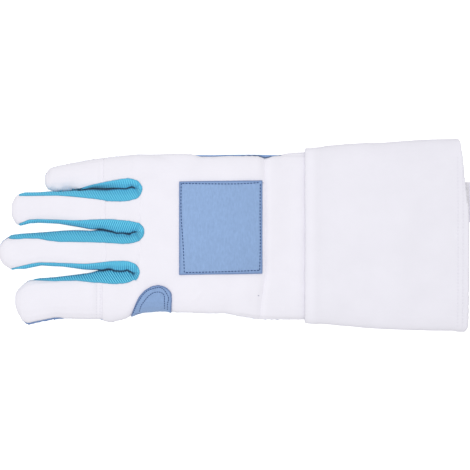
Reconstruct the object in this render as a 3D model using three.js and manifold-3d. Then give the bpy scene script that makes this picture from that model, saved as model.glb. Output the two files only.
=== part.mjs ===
// A fencing glove for the right hand, lying palm down with the thumb folded under the palm.
// Lengths are millimetres. +Z is up, the fingers point along -X and the little finger is on the +Y side.
// The pieces are drawn from the wrist seam at x = 0 and the middle of the knuckles at y = 0.
import * as THREE from 'three';
import { LoftGeometry } from 'three/addons/geometries/LoftGeometry.js';
import { mergeVertices } from 'three/addons/utils/BufferGeometryUtils.js';
import Module from 'manifold-3d';

const wasm = await Module();
wasm.setup();

// Widths of the fingers across the knuckles, from the crease on one side to the crease on the other
const littleWidth = 24.4;
const ringWidth = 29.4;
const middleWidth = 27.9;
const indexWidth = 31.4;

// Lengths of the fingers, from the line of the finger crotches to the tip
const littleLength = 66.5;
const ringLength = 90;
const middleLength = 98.7;
const indexLength = 87.5;

// Where the finger backs are sewn to the hand back, in front of the line of the crotches
const littleKnuckle = 25.9;
const ringKnuckle = 24.5;
const middleKnuckle = 23.8;
const indexKnuckle = 26.6;

// How far the round end of each gusset runs past the line of the crotches
const littleGussetEnd = 0.6;
const ringGussetEnd = 2;
const middleGussetEnd = 0.4;

// The hand, the wrist and the cuff, along the glove
const palmLength = 87;
const palmTail = 12.6;
const webDepth = 3.3;
const fingerRunIn = 26;
const wristLength = 28.7;
const sleeveTuck = 16.8;
const gauntletLength = 112.7;
const lipLength = 8.4;
const hemLength = 7;
const lipSlope = 0.9;

// Heights of the flattened hollows, and the thumb that the palm lies on
const fingerThickness = 18.6;
const handThickness = 20;
const wristThickness = 20.6;
const thumbThickness = 12.2;
const thumbWidth = 31;
const thumbLength = 72;
const thumbRootSetback = 37;
const thumbRootReach = 36.9;
const mouthWidth = 133.7;
const mouthHeight = 24;
const mouthShift = -0.1;
const mouthSlant = 6.6;
const slantWidth = 52;

// Walls of cloth and leather
const backWall = 2.4;
const palmWall = 1.6;
const sideWall = 1.6;
const tipWall = 3;
const webWall = 2.2;
const gauntletWall = 1.8;
const lipThickness = 0.5;
const thumbWall = 1.6;
const patchThickness = 0.9;

// The sewn-on patches and the tab in the mouth
const backPatchLength = 57.7;
const backPatchWidth = 64.8;
const backPatchSetback = 2;
const backPatchShift = 5.2;
const crotchPatchLength = 28.4;
const crotchPatchReach = 21.7;
const crotchPatchSetback = 65.1;
const crotchPatchDrop = 6;
const tabWidth = 28;
const tabLength = 22;
const tabReach = 4;
const tabThickness = 1.5;
const tabShift = 23.3;
const tabCorner = 2.5;

// Clearances: between sewn pieces, and half of the crease between two fingers
const seamGap = 0.3;
const creaseGap = 0.25;

// Steps this small are one edge, and shorter edges are smoothed away
const edgeStep = 0.01;
const smallestEdge = 0.06;

// How far the resting side is pressed flat, the side seam's share of each thickness, the gusset's reach below it
const restSink = 0.8;
const seamShare = 0.48;
const gussetReach = 0.5;

// Sides of the sections and their squareness, 2 being an ellipse
const fingerSides = 16;
const handSides = 32;
const thumbSides = 14;
const fingerRound = 2.3;
const handRound = 2.7;

const palmLift = thumbThickness + seamGap;
const cuffFloor = gauntletWall + seamGap;
const knuckleWidth = littleWidth + ringWidth + middleWidth + indexWidth;
const crotchLine = -palmLength;
const webFront = crotchLine - webDepth;
const sleeveEnd = wristLength + sleeveTuck;
const mouthEnd = wristLength + gauntletLength;
const tall = 3 * (palmLift + handThickness);

// Finger outlines seen from above: distances of the two edges from the finger's own middle line,
// as shares of its width, at shares of its length from the tip to the crotch
const littleOutline = [
  { along: 0, up: -0.06, down: 0.29 },
  { along: 0.02, up: 0.04, down: 0.39 },
  { along: 0.063, up: 0.14, down: 0.477 },
  { along: 0.147, up: 0.198, down: 0.5 },
  { along: 0.253, up: 0.256, down: 0.5 },
  { along: 0.463, up: 0.356, down: 0.5 },
  { along: 0.674, up: 0.428, down: 0.5 },
  { along: 0.884, up: 0.48, down: 0.5 },
  { along: 1, up: 0.5, down: 0.5 },
];
const ringOutline = [
  { along: 0, up: 0.16, down: 0.064 },
  { along: 0.016, up: 0.27, down: 0.18 },
  { along: 0.043, up: 0.388, down: 0.28 },
  { along: 0.097, up: 0.44, down: 0.326 },
  { along: 0.214, up: 0.448, down: 0.3 },
  { along: 0.37, up: 0.476, down: 0.326 },
  { along: 0.525, up: 0.495, down: 0.41 },
  { along: 0.642, up: 0.5, down: 0.48 },
  { along: 0.76, up: 0.5, down: 0.5 },
  { along: 1, up: 0.5, down: 0.5 },
];
const middleOutline = [
  { along: 0, up: 0.15, down: 0.14 },
  { along: 0.014, up: 0.24, down: 0.25 },
  { along: 0.035, up: 0.33, down: 0.34 },
  { along: 0.085, up: 0.43, down: 0.456 },
  { along: 0.18, up: 0.456, down: 0.456 },
  { along: 0.3, up: 0.48, down: 0.37 },
  { along: 0.45, up: 0.5, down: 0.394 },
  { along: 0.6, up: 0.5, down: 0.47 },
  { along: 0.75, up: 0.5, down: 0.5 },
  { along: 1, up: 0.5, down: 0.5 },
];
const indexOutline = [
  { along: 0, up: -0.03, down: 0.27 },
  { along: 0.016, up: 0.07, down: 0.41 },
  { along: 0.056, up: 0.19, down: 0.61 },
  { along: 0.104, up: 0.297, down: 0.7 },
  { along: 0.192, up: 0.344, down: 0.645 },
  { along: 0.312, up: 0.366, down: 0.578 },
  { along: 0.432, up: 0.408, down: 0.56 },
  { along: 0.672, up: 0.498, down: 0.578 },
  { along: 0.768, up: 0.5, down: 0.61 },
  { along: 0.872, up: 0.5, down: 0.567 },
  { along: 0.93, up: 0.5, down: 0.49 },
  { along: 1, up: 0.5, down: 0.44 },
];

// Seams of the gussets seen from above, in the same shares: "reach" is the seam's distance from the middle line
const littleDownSeam = [
  { along: 0.147, reach: 0.47 },
  { along: 0.253, reach: 0.463 },
  { along: 0.358, reach: 0.405 },
  { along: 0.463, reach: 0.32 },
  { along: 0.568, reach: 0.26 },
  { along: 0.674, reach: 0.204 },
  { along: 0.779, reach: 0.175 },
  { along: 0.884, reach: 0.16 },
];
const ringUpSeam = [
  { along: 0.06, reach: 0.352 },
  { along: 0.214, reach: 0.352 },
  { along: 0.37, reach: 0.329 },
  { along: 0.525, reach: 0.281 },
  { along: 0.642, reach: 0.245 },
  { along: 0.759, reach: 0.186 },
  { along: 0.914, reach: 0.21 },
];
const ringDownSeam = [
  { along: 0.06, reach: 0.25 },
  { along: 0.136, reach: 0.171 },
  { along: 0.37, reach: 0.195 },
  { along: 0.525, reach: 0.207 },
  { along: 0.759, reach: 0.183 },
  { along: 0.914, reach: 0.23 },
];
const middleUpSeam = [
  { along: 0.07, reach: 0.37 },
  { along: 0.14, reach: 0.32 },
  { along: 0.28, reach: 0.29 },
  { along: 0.35, reach: 0.232 },
  { along: 0.43, reach: 0.194 },
  { along: 0.71, reach: 0.22 },
  { along: 0.85, reach: 0.182 },
  { along: 0.92, reach: 0.207 },
];
const middleDownSeam = [
  { along: 0.085, reach: 0.42 },
  { along: 0.14, reach: 0.362 },
  { along: 0.28, reach: 0.287 },
  { along: 0.57, reach: 0.27 },
  { along: 0.78, reach: 0.22 },
  { along: 0.92, reach: 0.232 },
];
const indexUpSeam = [
  { along: 0.136, reach: 0.297 },
  { along: 0.27, reach: 0.281 },
  { along: 0.43, reach: 0.27 },
  { along: 0.51, reach: 0.263 },
  { along: 0.59, reach: 0.214 },
  { along: 0.75, reach: 0.188 },
  { along: 0.91, reach: 0.237 },
];

// A finger's side view: its underside as a share of the palm's height above the table,
// its thickness as a share of the finger thickness, from the tip to the web
const fingerProfile = [
  { along: 0, lift: 0.28, thick: 0.24 },
  { along: 0.016, lift: 0.16, thick: 0.42 },
  { along: 0.05, lift: 0.06, thick: 0.58 },
  { along: 0.1, lift: 0, thick: 0.67 },
  { along: 0.15, lift: -0.05, thick: 0.72 },
  { along: 0.27, lift: -0.04, thick: 0.78 },
  { along: 0.36, lift: 0.06, thick: 0.82 },
  { along: 0.55, lift: 0.28, thick: 0.9 },
  { along: 0.75, lift: 0.6, thick: 0.965 },
  { along: 1, lift: 1, thick: 1 },
];

// The hand from the line of the crotches to the wrist seam: edges as shares of half the knuckle width,
// the underside's height between the cuff's floor and the palm's lift, and the share of the hand thickness
const handProfile = [
  { along: 0, up: 0.99, down: 0.97, lift: 1, thick: 0.95 },
  { along: 0.073, up: 0.992, down: 0.945, lift: 1, thick: 0.96 },
  { along: 0.234, up: 0.994, down: 0.945, lift: 1.02, thick: 0.985 },
  { along: 0.476, up: 0.992, down: 0.955, lift: 1.05, thick: 1 },
  { along: 0.677, up: 0.992, down: 0.975, lift: 1.03, thick: 1 },
  { along: 0.839, up: 1.004, down: 1.006, lift: 0.88, thick: 0.98 },
  { along: 0.944, up: 1.003, down: 1.028, lift: 0.72, thick: 0.96 },
  { along: 0.98, up: 0.992, down: 1.034, lift: 0.67, thick: 0.925 },
  { along: 1, up: 0.984, down: 1.035, lift: 0.65, thick: 0.905 },
];

// The sleeve from the wrist seam (0) to the gauntlet's front edge (1) and on to its hidden end (2), in the same way
const sleeveProfile = [
  { along: 0, up: 0.984, down: 1.035, lift: 0.65, thick: 0.865 },
  { along: 0.1, up: 0.99, down: 1.037, lift: 0.6, thick: 0.91 },
  { along: 0.25, up: 1, down: 1.039, lift: 0.5, thick: 0.92 },
  { along: 0.61, up: 1.015, down: 1.04, lift: 0.2, thick: 0.955 },
  { along: 1, up: 1.028, down: 1.04, lift: 0, thick: 1 },
  { along: 2, up: 1.055, down: 1.066, lift: 0, thick: 1 },
];

// The gauntlet behind the sleeve: share of the way from its section there to the mouth's section
const flareProfile = [
  { along: 0, flare: 0 },
  { along: 0.072, flare: 0.133 },
  { along: 0.295, flare: 0.45 },
  { along: 0.506, flare: 0.77 },
  { along: 0.73, flare: 0.95 },
  { along: 1, flare: 1 },
];

// Where a finger runs on into the hand: what is left of its width and height as it sinks under the back
const runInProfile = [
  { along: 0, width: 1, height: 1 },
  { along: 0.3, width: 0.97, height: 0.97 },
  { along: 0.65, width: 0.9, height: 0.88 },
  { along: 1, width: 0.8, height: 0.74 },
];

// The round front of the web between the fingers
const webProfile = [
  { along: 0.03, width: 0.9, height: 0.3 },
  { along: 0.3, width: 0.95, height: 0.72 },
  { along: 1, width: 1, height: 1 },
];

// The thumb from its root inside the hand to its tip: middle height above its resting height as a share
// of the palm's lift, and shares of its width and thickness
const thumbProfile = [
  { along: 0, lift: 1.3, wide: 0.94, thick: 1.1 },
  { along: 0.12, lift: 0.95, wide: 0.98, thick: 1.12 },
  { along: 0.25, lift: 0.42, wide: 1, thick: 1.1 },
  { along: 0.36, lift: 0.12, wide: 0.99, thick: 1.04 },
  { along: 0.46, lift: 0, wide: 0.97, thick: 1 },
  { along: 0.72, lift: 0, wide: 0.9, thick: 0.98 },
  { along: 0.88, lift: 0, wide: 0.76, thick: 0.88 },
  { along: 0.96, lift: 0, wide: 0.54, thick: 0.7 },
  { along: 1, lift: 0, wide: 0.28, thick: 0.44 },
];
const thumbHeading = 134.6;

// The crotch patch seen from above: shares of its length from the finger side, and of its reach from the edge
const crotchPatchOutline = [
  { along: 0, reach: 0 },
  { along: 0.1, reach: 0.33 },
  { along: 0.19, reach: 0.6 },
  { along: 0.26, reach: 0.765 },
  { along: 0.34, reach: 0.865 },
  { along: 0.45, reach: 0.945 },
  { along: 0.6, reach: 1 },
  { along: 0.74, reach: 0.97 },
  { along: 0.86, reach: 0.88 },
  { along: 0.95, reach: 0.745 },
  { along: 1, reach: 0.53 },
  { along: 0.975, reach: 0 },
];

const fingers = [
  { name: 'little', width: littleWidth, length: littleLength, knuckle: littleKnuckle, outline: littleOutline },
  { name: 'ring', width: ringWidth, length: ringLength, knuckle: ringKnuckle, outline: ringOutline },
  { name: 'middle', width: middleWidth, length: middleLength, knuckle: middleKnuckle, outline: middleOutline },
  { name: 'index', width: indexWidth, length: indexLength, knuckle: indexKnuckle, outline: indexOutline },
];
let crease = knuckleWidth / 2;
for (const finger of fingers) {
  finger.upCrease = crease;
  crease -= finger.width;
  finger.downCrease = crease;
  finger.middle = (finger.upCrease + finger.downCrease) / 2;
  finger.tip = crotchLine - finger.length;
}
const [little, ring, middle, index] = fingers;

const gussets = [
  { name: 'gusset_little_ring', a: little, aSeam: littleDownSeam, b: ring, bSeam: ringUpSeam, end: littleGussetEnd },
  { name: 'gusset_ring_middle', a: ring, aSeam: ringDownSeam, b: middle, bSeam: middleUpSeam, end: ringGussetEnd },
  { name: 'gusset_middle_index', a: middle, aSeam: middleDownSeam, b: index, bSeam: indexUpSeam, end: middleGussetEnd },
];

// A column of a table at a share along it, straight between its rows and level beyond its ends
function at(table, along, column) {
  const last = table.length - 1;
  if (along <= table[0].along) return table[0][column];
  if (along >= table[last].along) return table[last][column];
  const next = table.findIndex((row) => row.along > along);
  const before = table[next - 1];
  const after = table[next];
  const share = (along - before.along) / (after.along - before.along);
  return THREE.MathUtils.lerp(before[column], after[column], share);
}

// Sections across the glove: y of the two edges, z of the side seam, height above and depth below the seam
function handSection(x) {
  const onHand = x < 0;
  const table = onHand ? handProfile : sleeveProfile;
  let along = x / wristLength;
  if (onHand) along = 1 + x / palmLength;
  if (x > wristLength) along = 1 + (x - wristLength) / sleeveTuck;
  const thickness = at(table, along, 'thick') * (onHand ? handThickness : wristThickness);
  const bottom = cuffFloor + at(table, along, 'lift') * (palmLift - cuffFloor);
  return {
    x,
    up: at(table, along, 'up') * knuckleWidth / 2,
    down: -at(table, along, 'down') * knuckleWidth / 2,
    seam: bottom + seamShare * thickness,
    rise: (1 - seamShare) * thickness,
    drop: seamShare * thickness,
  };
}

function fingerSection(finger, x) {
  const along = (x - finger.tip) / finger.length;
  const climb = (x - finger.tip) / (webFront - finger.tip);
  const sunk = (x - crotchLine) / fingerRunIn;
  const narrow = at(runInProfile, sunk, 'width') * finger.width;
  const thickness = at(fingerProfile, climb, 'thick') * at(runInProfile, sunk, 'height') * fingerThickness;
  const bottom = at(fingerProfile, climb, 'lift') * palmLift;
  return {
    x,
    up: finger.middle + at(finger.outline, along, 'up') * narrow - creaseGap,
    down: finger.middle - at(finger.outline, along, 'down') * narrow + creaseGap,
    seam: x < webFront ? bottom + seamShare * thickness : handSection(x).seam,
    rise: (1 - seamShare) * thickness,
    drop: seamShare * thickness,
  };
}

function cuffSection(x) {
  const front = grow(handSection(Math.min(x, sleeveEnd)), seamGap, seamGap, seamGap + restSink);
  const share = at(flareProfile, (x - sleeveEnd) / (mouthEnd - sleeveEnd), 'flare');
  const mouth = {
    up: mouthShift + mouthWidth / 2 - gauntletWall,
    down: mouthShift - mouthWidth / 2 + gauntletWall,
    seam: seamShare * mouthHeight,
    rise: (1 - seamShare) * mouthHeight - gauntletWall,
    drop: seamShare * mouthHeight - gauntletWall + restSink,
  };
  const section = { x };
  for (const name of Object.keys(mouth)) {
    section[name] = THREE.MathUtils.lerp(front[name], mouth[name], share);
  }
  return section;
}

// The same section moved outward at its edges, top and bottom, or inward where the numbers are negative
function grow(section, side, top, bottom) {
  return {
    ...section,
    up: section.up + side,
    down: section.down - side,
    rise: section.rise + top,
    drop: section.drop + bottom,
  };
}

// Points round a section, flat at the floor. "upper" and "lower" stop half a seam gap from the side seam.
function ringOf(section, { sides, round, floor, part = 'full' }) {
  const middleY = (section.up + section.down) / 2;
  const half = (section.up - section.down) / 2;
  const first = part === 'lower' ? sides / 2 : 0;
  const count = part === 'full' ? sides : sides / 2 + 1;
  const points = [];
  for (let k = first; k < first + count; k++) {
    const angle = 2 * Math.PI * k / sides;
    const across = Math.sign(Math.cos(angle)) * Math.abs(Math.cos(angle)) ** (2 / round);
    const upward = Math.sign(Math.sin(angle)) * Math.abs(Math.sin(angle)) ** (2 / round);
    const height = upward > 0 ? section.rise : section.drop;
    let z = Math.max(floor, section.seam + upward * height);
    if (part === 'upper') z = Math.max(z, section.seam + seamGap / 2);
    if (part === 'lower') z = Math.min(z, section.seam - seamGap / 2);
    points.push(new THREE.Vector3(section.x, middleY + across * half, z));
  }
  return points;
}

// A closed solid through rings of points, each end drawn together to the middle of its ring
function loft(rings) {
  const closeEnd = (points) => {
    const centre = points.reduce((sum, point) => sum.add(point), new THREE.Vector3()).divideScalar(points.length);
    return points.map(() => centre);
  };
  const sections = [closeEnd(rings[0]), ...rings, closeEnd(rings[rings.length - 1])];
  return solidOf(new LoftGeometry(sections));
}

function solidOf(geometry) {
  const bare = new THREE.BufferGeometry();
  bare.setAttribute('position', geometry.getAttribute('position'));
  bare.setIndex(geometry.getIndex());
  const merged = mergeVertices(bare);
  const corners = merged.getIndex().array;
  const kept = [];
  for (let k = 0; k < corners.length; k += 3) {
    const [a, b, c] = corners.subarray(k, k + 3);
    if (a !== b && b !== c && c !== a) kept.push(a, b, c);
  }
  const mesh = new wasm.Mesh({
    numProp: 3,
    vertProperties: new Float32Array(merged.getAttribute('position').array),
    triVerts: new Uint32Array(kept),
  });
  return new wasm.Manifold(mesh);
}

const join = (solids) => solids.reduce((whole, solid) => whole.add(solid));

// The part of a solid before or behind a plane across the glove
const before = (solid, x) => solid.trimByPlane([-1, 0, 0], -x);
const behind = (solid, x) => solid.trimByPlane([1, 0, 0], x);

function block(x, y, z) {
  const geometry = new THREE.BoxGeometry(x.max - x.min, y.max - y.min, z.max - z.min);
  geometry.translate((x.min + x.max) / 2, (y.min + y.max) / 2, (z.min + z.max) / 2);
  return solidOf(geometry);
}

function slab(outline, bottom, top) {
  const geometry = new THREE.ExtrudeGeometry(outline, { depth: top - bottom, bevelEnabled: false });
  geometry.translate(0, 0, bottom);
  return solidOf(geometry);
}

// The hand and sleeve in one tube. "out" moves its skin outward on all sides; the web's front moves with it.
function handTube({ out = 0, part = 'full', from = webFront - out, to = sleeveEnd } = {}) {
  const skin = (section) => ringOf(grow(section, out, out, out), {
    sides: handSides,
    round: handRound,
    floor: 0,
    part,
  });
  return loft(handStations(from, to).map((section) => skin(section)));
}

function handStations(from, to) {
  const web = webProfile.map(({ along, width, height }) => {
    const x = from + along * webDepth;
    const section = { ...handSection(Math.max(x, crotchLine)), x };
    const narrowing = (1 - width) * knuckleWidth / 2;
    return {
      ...grow(section, -narrowing, 0, 0),
      rise: section.rise * height,
      drop: section.drop * height,
    };
  });
  const places = [
    ...handProfile.map((row) => crotchLine + row.along * palmLength),
    ...sleeveProfile.slice(1, -1).map((row) => row.along * wristLength),
    to,
  ];
  const webEnd = from + webDepth;
  return [...web, ...places.filter((x) => x > webEnd + webDepth / 2 && x <= to).map(handSection)];
}

function fingerTube(finger, { out = 0, part = 'full' } = {}) {
  const places = finger.outline
    .map((row) => finger.tip + row.along * finger.length)
    .filter((x) => x < webFront - webDepth / 2);
  places.push(webFront, ...runInProfile.map((row) => crotchLine + row.along * fingerRunIn));
  const rings = places.map((x, k) => {
    const section = grow(fingerSection(finger, x), out, out, out);
    if (k === 0) section.x -= out;
    return ringOf(section, { sides: fingerSides, round: fingerRound, floor: 0, part });
  });
  return loft(rings);
}

// The hollow inside the hand and sleeve, open at the sleeve's end, with the hollows of the fingers
function handHollow() {
  const stations = handStations(webFront + webWall, sleeveEnd + webDepth);
  const rings = stations.map((section) => ringOf(grow(section, -sideWall, -backWall, -palmWall), {
    sides: handSides,
    round: handRound,
    floor: palmWall,
  }));
  return loft(rings);
}

function fingerHollow(finger) {
  const start = finger.tip + tipWall;
  const places = finger.outline
    .map((row) => finger.tip + row.along * finger.length)
    .filter((x) => x > start + tipWall / 2 && x < webFront - webDepth / 2);
  const runIn = runInProfile.slice(0, -1).map((row) => crotchLine + row.along * fingerRunIn);
  const rings = [start, ...places, webFront, ...runIn].map((x) =>
    ringOf(grow(fingerSection(finger, x), -sideWall, -backWall, -palmWall), {
      sides: fingerSides,
      round: fingerRound,
      floor: palmWall,
    }));
  return loft(rings);
}

// The space of one gusset: between the seams of two neighbouring fingers, from above the glove
// down to the lower seam of each finger, with a round end behind the crease
function gussetSpace(gusset, out) {
  const { a, b, aSeam, bSeam } = gusset;
  const aStart = a.tip + aSeam[0].along * a.length - out;
  const bStart = b.tip + bSeam[0].along * b.length - out;
  const end = crotchLine + gusset.end + out;
  const seamY = (finger, seam, x, sign) => {
    const along = (x - finger.tip) / finger.length;
    return finger.middle + sign * (at(seam, along, 'reach') * finger.width - out);
  };
  const creaseY = a.downCrease;
  const lowest = (finger, x) => {
    const section = fingerSection(finger, x);
    return section.seam - gussetReach * section.drop - out;
  };
  const roundness = (seamY(a, aSeam, end, -1) - seamY(b, bSeam, end, 1)) / 2;
  const roundStart = end - roundness;
  const nearStart = Math.min(aStart, bStart);
  const farStart = Math.max(aStart, bStart);
  const straightSteps = 11;
  const roundAngles = [35, 60, 80];
  const places = [nearStart, farStart - edgeStep, farStart];
  for (let k = 1; k <= straightSteps; k++) {
    places.push(THREE.MathUtils.lerp(farStart, roundStart, k / straightSteps));
  }
  for (const angle of roundAngles) {
    places.push(roundStart + roundness * Math.sin(THREE.MathUtils.degToRad(angle)));
  }
  const rings = places.map((x) => {
    const past = Math.max(0, (x - roundStart) / roundness);
    const share = Math.sqrt(1 - past * past);
    const top = x < aStart ? creaseY + creaseGap / 2 : seamY(a, aSeam, x, -1);
    const low = x < bStart ? creaseY - creaseGap / 2 : seamY(b, bSeam, x, 1);
    const centre = (top + low) / 2;
    const topY = centre + (top - centre) * share;
    const lowY = centre + (low - centre) * share;
    const midY = THREE.MathUtils.clamp(creaseY, lowY, topY);
    return [
      new THREE.Vector3(x, topY, lowest(a, x)),
      new THREE.Vector3(x, topY, tall),
      new THREE.Vector3(x, midY, tall),
      new THREE.Vector3(x, lowY, tall),
      new THREE.Vector3(x, lowY, lowest(b, x)),
      new THREE.Vector3(x, midY, (lowest(a, x) + lowest(b, x)) / 2),
    ];
  });
  return loft(rings);
}

// The thumb lies on the table across the palm. Its sections stand across its own direction.
function thumbTube({ inset = 0, part = 'full' } = {}) {
  const heading = THREE.MathUtils.degToRad(thumbHeading);
  const direction = new THREE.Vector3(Math.cos(heading), Math.sin(heading), 0);
  const side = new THREE.Vector3(-direction.y, direction.x, 0);
  const root = new THREE.Vector3(-thumbRootSetback, -thumbRootReach, 0);
  const rows = inset > 0 ? thumbProfile.filter((row) => row.along < 1 - tipWall / thumbLength) : thumbProfile;
  const rings = rows.map((row) => {
    const seam = thumbThickness / 2 + row.lift * palmLift;
    const half = row.wide * thumbWidth / 2 - inset;
    const height = row.thick * thumbThickness / 2 - inset;
    const section = { x: 0, up: half, down: -half, seam, rise: height, drop: height };
    const options = { sides: thumbSides, round: fingerRound, floor: inset, part };
    const centre = root.clone().addScaledVector(direction, row.along * thumbLength);
    return ringOf(section, options).map((point) =>
      centre.clone().addScaledVector(side, point.y).setZ(point.z));
  });
  return loft(rings);
}

function cuffTube({ inner }) {
  const places = [
    { x: wristLength - (inner ? webDepth : 0), lip: 1 },
    { x: wristLength + lipLength, lip: 1 },
    { x: wristLength + lipLength + lipSlope, lip: 0 },
    { x: sleeveEnd, lip: 0 },
  ];
  for (const { along } of flareProfile.slice(1, -1)) {
    places.push({ x: THREE.MathUtils.lerp(sleeveEnd, mouthEnd, along), lip: 0 });
  }
  places.push({ x: mouthEnd - hemLength - lipSlope, lip: 0 });
  places.push({ x: mouthEnd - hemLength, lip: 1 });
  places.push({ x: mouthEnd + (inner ? webDepth : 0), lip: 1 });
  const rings = places.map(({ x, lip }) => {
    const wall = inner ? 0 : gauntletWall + lip * lipThickness;
    const section = { ...grow(cuffSection(x), wall, wall, wall), x };
    const floor = inner ? gauntletWall : 0;
    return ringOf(section, { sides: handSides, round: handRound, floor });
  });
  return loft(rings);
}

// The largest of a solid's separate bodies, with stray corners of the cuts left out
function largest(solid) {
  const bodies = solid.decompose();
  return bodies.reduce((best, body) => (body.volume() > best.volume() ? body : best));
}

const pieces = new THREE.Group();

function addPiece(name, solid, material) {
  const { vertProperties, triVerts } = largest(solid).simplify(smallestEdge).getMesh();
  const geometry = new THREE.BufferGeometry();
  geometry.setAttribute('position', new THREE.BufferAttribute(vertProperties, 3));
  geometry.setIndex(new THREE.BufferAttribute(triVerts, 1));
  geometry.computeVertexNormals();
  const mesh = new THREE.Mesh(geometry, material);
  mesh.name = name;
  pieces.add(mesh);
}

const whiteCloth = new THREE.MeshStandardMaterial({ color: 0xefeef6, roughness: 0.85, metalness: 0 });
const cuffCloth = new THREE.MeshStandardMaterial({ color: 0xe8e7f1, roughness: 0.85, metalness: 0 });
const blueSuede = new THREE.MeshStandardMaterial({ color: 0x8caad7, roughness: 0.95, metalness: 0 });
const turquoiseKnit = new THREE.MeshStandardMaterial({ color: 0x50b4d7, roughness: 0.8, metalness: 0 });

// The whole skin of the hand and fingers, its hollow, and the halves above and below the side seam
const skinOf = (options) => join([handTube(options), ...fingers.map((finger) => fingerTube(finger, options))]);
const skin = skinOf({});
const hollow = join([handHollow(), ...fingers.map(fingerHollow)]);
const shell = skin.subtract(hollow);
const upperShell = skinOf({ part: 'upper' }).subtract(hollow);
const lowerShell = skinOf({ part: 'lower' }).subtract(hollow);
const gussetCuts = join(gussets.map((gusset) => gussetSpace(gusset, seamGap)));

// Backs of the fingers, sewn to the hand back in front of the knuckles
const backs = before(upperShell.subtract(gussetCuts), -seamGap / 2);
const laneOf = (finger, gap) => block(
  { min: finger.tip - tipWall, max: crotchLine - finger.knuckle + gap },
  {
    min: finger === index ? -knuckleWidth : finger.downCrease,
    max: finger === little ? knuckleWidth : finger.upCrease,
  },
  { min: -tall, max: tall },
);
for (const finger of fingers) {
  addPiece(`finger_back_${finger.name}`, backs.intersect(laneOf(finger, -seamGap / 2)), whiteCloth);
}
const fingerLanes = join(fingers.map((finger) => laneOf(finger, seamGap / 2)));
addPiece('hand_back', backs.subtract(fingerLanes), whiteCloth);

for (const gusset of gussets) {
  addPiece(gusset.name, shell.intersect(gussetSpace(gusset, 0)), turquoiseKnit);
}

// The palm is cut open over the thumb and ends under the wrist
const palm = before(lowerShell, palmTail).subtract(gussetCuts).subtract(thumbTube({ inset: thumbWall }));
addPiece('palm', palm, blueSuede);

// The two halves of the thumb, sewn along its sides
const skinAndSeam = skinOf({ out: seamGap });
for (const [name, part, material] of [['thumb_front', 'upper', blueSuede], ['thumb_back', 'lower', whiteCloth]]) {
  const half = thumbTube({ part }).subtract(thumbTube({ inset: thumbWall })).subtract(skinAndSeam);
  addPiece(name, half, material);
}

// The patch on the hand back
const patchOver = skinOf({ out: seamGap + patchThickness }).subtract(skinAndSeam);
const backPatch = block(
  { min: -backPatchSetback - backPatchLength, max: -backPatchSetback },
  { min: backPatchShift - backPatchWidth / 2, max: backPatchShift + backPatchWidth / 2 },
  { min: handSection(-backPatchSetback).seam, max: tall },
);
addPiece('back_patch', patchOver.intersect(backPatch), blueSuede);

// The patch over the index finger's crotch, which wraps round the edge of the hand
const crotchPatchPoints = crotchPatchOutline.map(({ along, reach }) => new THREE.Vector2(
  -crotchPatchSetback - crotchPatchLength * (1 - along),
  -knuckleWidth / 2 + crotchPatchReach * reach,
));
const beyondEdge = -knuckleWidth / 2 - crotchPatchReach;
const crotchPatchShape = new THREE.Shape([
  ...crotchPatchPoints,
  new THREE.Vector2(crotchPatchPoints[crotchPatchPoints.length - 1].x, beyondEdge),
  new THREE.Vector2(crotchPatchPoints[0].x, beyondEdge),
]);
const crotchPatchBottom = handSection(crotchLine).seam - crotchPatchDrop;
addPiece('crotch_patch', patchOver.intersect(slab(crotchPatchShape, crotchPatchBottom, tall)), blueSuede);

// The sleeve: over the palm's end its lower half is left out
const sleeve = join([behind(upperShell, seamGap / 2), behind(shell, palmTail + seamGap)]);
addPiece('wrist_sleeve', sleeve, whiteCloth);

// The gauntlet, with its mouth cut on a slant at the little finger's side
const gauntlet = cuffTube({ inner: false }).subtract(cuffTube({ inner: true }));
const slantFoot = new THREE.Vector2(mouthEnd, mouthShift + mouthWidth / 2 - slantWidth);
const slantNormal = new THREE.Vector2(-slantWidth, -mouthSlant).normalize();
const cutGauntlet = gauntlet.trimByPlane([slantNormal.x, slantNormal.y, 0], slantNormal.dot(slantFoot));
addPiece('gauntlet', cutGauntlet, cuffCloth);

// The tab that lies in the mouth, on the gauntlet's floor
const tabShape = new THREE.Shape();
const tabEdge = tabWidth / 2;
const tabEnd = mouthEnd + tabReach;
tabShape.moveTo(tabEnd - tabLength, tabShift - tabEdge);
tabShape.lineTo(tabEnd - tabCorner, tabShift - tabEdge);
tabShape.quadraticCurveTo(tabEnd, tabShift - tabEdge, tabEnd, tabShift - tabEdge + tabCorner);
tabShape.lineTo(tabEnd, tabShift + tabEdge - tabCorner);
tabShape.quadraticCurveTo(tabEnd, tabShift + tabEdge, tabEnd - tabCorner, tabShift + tabEdge);
tabShape.lineTo(tabEnd - tabLength, tabShift + tabEdge);
addPiece('mouth_tab', slab(tabShape, cuffFloor, cuffFloor + tabThickness), cuffCloth);

// The glove stands on the table about the middle of its outline
const middlePoint = new THREE.Box3().setFromObject(pieces).getCenter(new THREE.Vector3());
pieces.position.set(-middlePoint.x, -middlePoint.y, 0);

export default pieces;
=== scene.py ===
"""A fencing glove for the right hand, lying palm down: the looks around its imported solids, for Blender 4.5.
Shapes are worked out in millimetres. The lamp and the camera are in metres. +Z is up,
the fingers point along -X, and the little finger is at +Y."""

import math

import bmesh
import bpy
import numpy as np
from mathutils import Matrix, Vector, kdtree
from mathutils.bvhtree import BVHTree


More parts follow.
